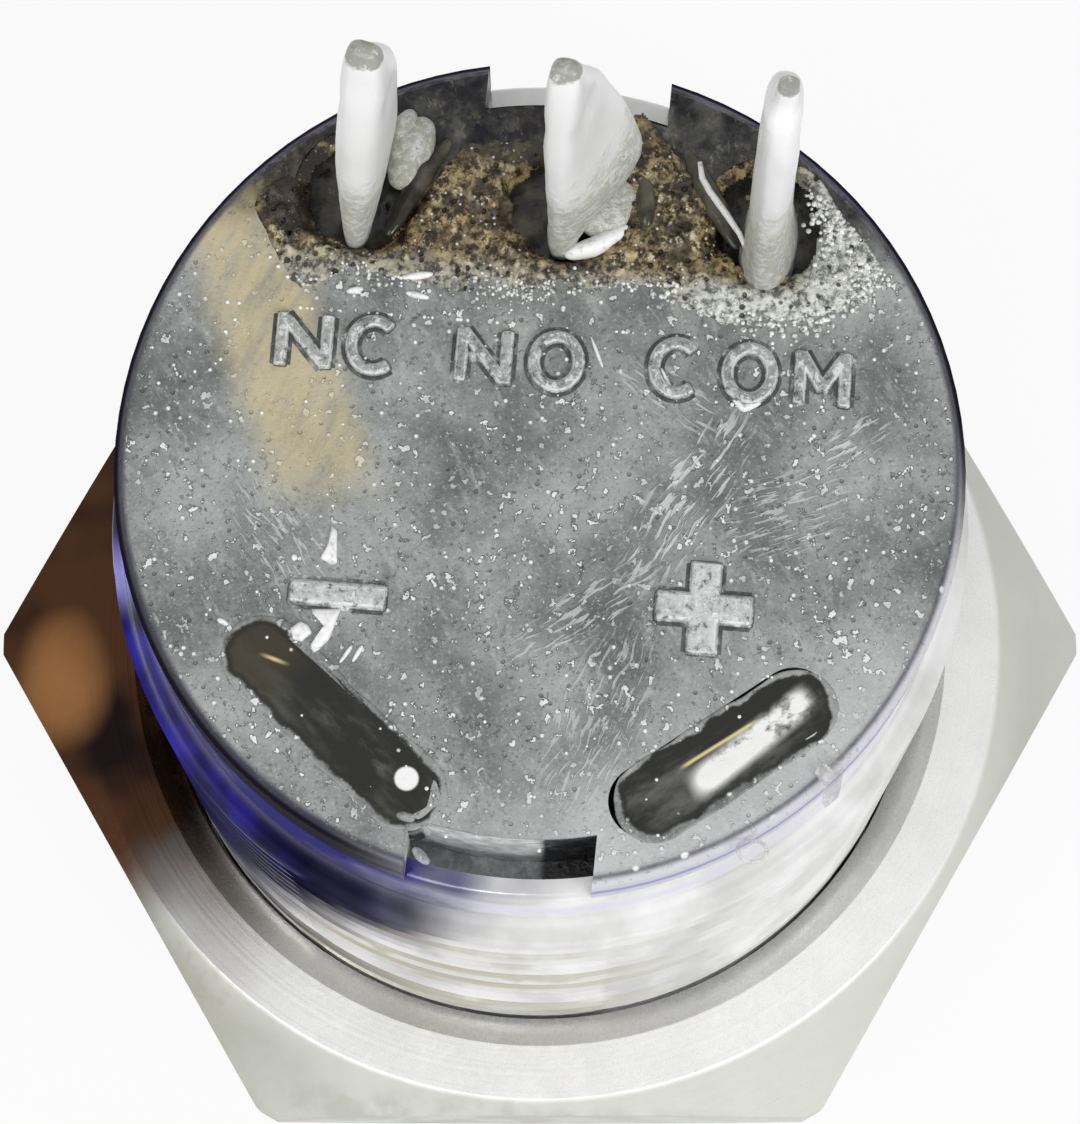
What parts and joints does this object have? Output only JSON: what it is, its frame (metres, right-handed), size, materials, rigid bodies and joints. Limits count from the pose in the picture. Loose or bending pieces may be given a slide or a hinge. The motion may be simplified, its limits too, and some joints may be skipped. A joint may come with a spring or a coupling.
{
  "type": "door bell push button",
  "caption": "Momentary metal push button for panel mounting: threaded barrel with hexagon nut, flat push cap and solder terminals for a changeover contact at the rear.",
  "frame": {"origin": "centre of the bezel's front rim, on the button's axis", "axes": "+Z along the axis from the push cap to the solder terminals, +Y towards the row of terminals, +X from the NC to the COM terminal"},
  "size_m": [0.0274, 0.025, 0.0352],
  "materials": {
    "steel": "polished, lightly scuffed",
    "spring_steel": "bright drawn",
    "rubber": "matt",
    "base_plastic": "scratched gloss with flux residue",
    "inner_plastic": "plain moulded",
    "tinned_brass": "thickly tinned",
    "bronze": "rolled",
    "contact_silver": "satin",
    "resin": "wet gloss"
  },
  "bodies": {
    "barrel": {"housing": "steel", "panel_gasket": "rubber", "guide_plate": "inner_plastic", "base": "base_plastic", "base_seal": "rubber", "terminal_nc": "tinned_brass", "terminal_no": "tinned_brass", "terminal_com": "tinned_brass", "nc_contact": "contact_silver", "no_contact": "contact_silver", "potting_nc": "resin", "potting_no": "resin", "potting_com": "resin", "epoxy_minus": "resin", "epoxy_plus": "resin", "return_spring": "spring_steel", "blade_spring": "spring_steel"},
    "button": {"push_cap": "steel", "cap_seal": "rubber", "plunger": "inner_plastic", "contact_carrier": "inner_plastic", "contact_spring": "spring_steel"},
    "blade": {"snap_blade": "bronze", "moving_contacts": "contact_silver"},
    "washer": {"lock_washer": "spring_steel"},
    "nut": {"hex_nut": "steel"}
  },
  "joints": [
    {"name": "cap_press", "type": "slide", "parent": "barrel", "child": "button", "axis": [0, 0, 1], "range_m": [0, 0.002], "stiffness_N_per_m": 1200, "springref_m": -0.0012, "deforming": ["return_spring", "contact_spring", "blade_spring"]},
    {"name": "blade_swing", "type": "hinge", "parent": "barrel", "child": "blade", "pos_m": [0.0038, 0.00485, 0.0182], "axis": [0, 1, 0], "range_deg": [0, 9]},
    {"name": "washer_slide", "type": "slide", "parent": "barrel", "child": "washer", "axis": [0, 0, 1], "range_m": [0, 0.01]},
    {"name": "nut_turn", "type": "hinge", "parent": "washer", "child": "nut", "pos_m": [0, 0, 0.0058], "axis": [0, 0, 1], "range_deg": [0, 3600]}
  ],
  "couplings": [
    {"joint": "blade_swing", "follows": "cap_press", "rad_per_m": 78.532},
    {"joint": "washer_slide", "follows": "nut_turn", "m_per_rad": 0.00015914}
  ]
}
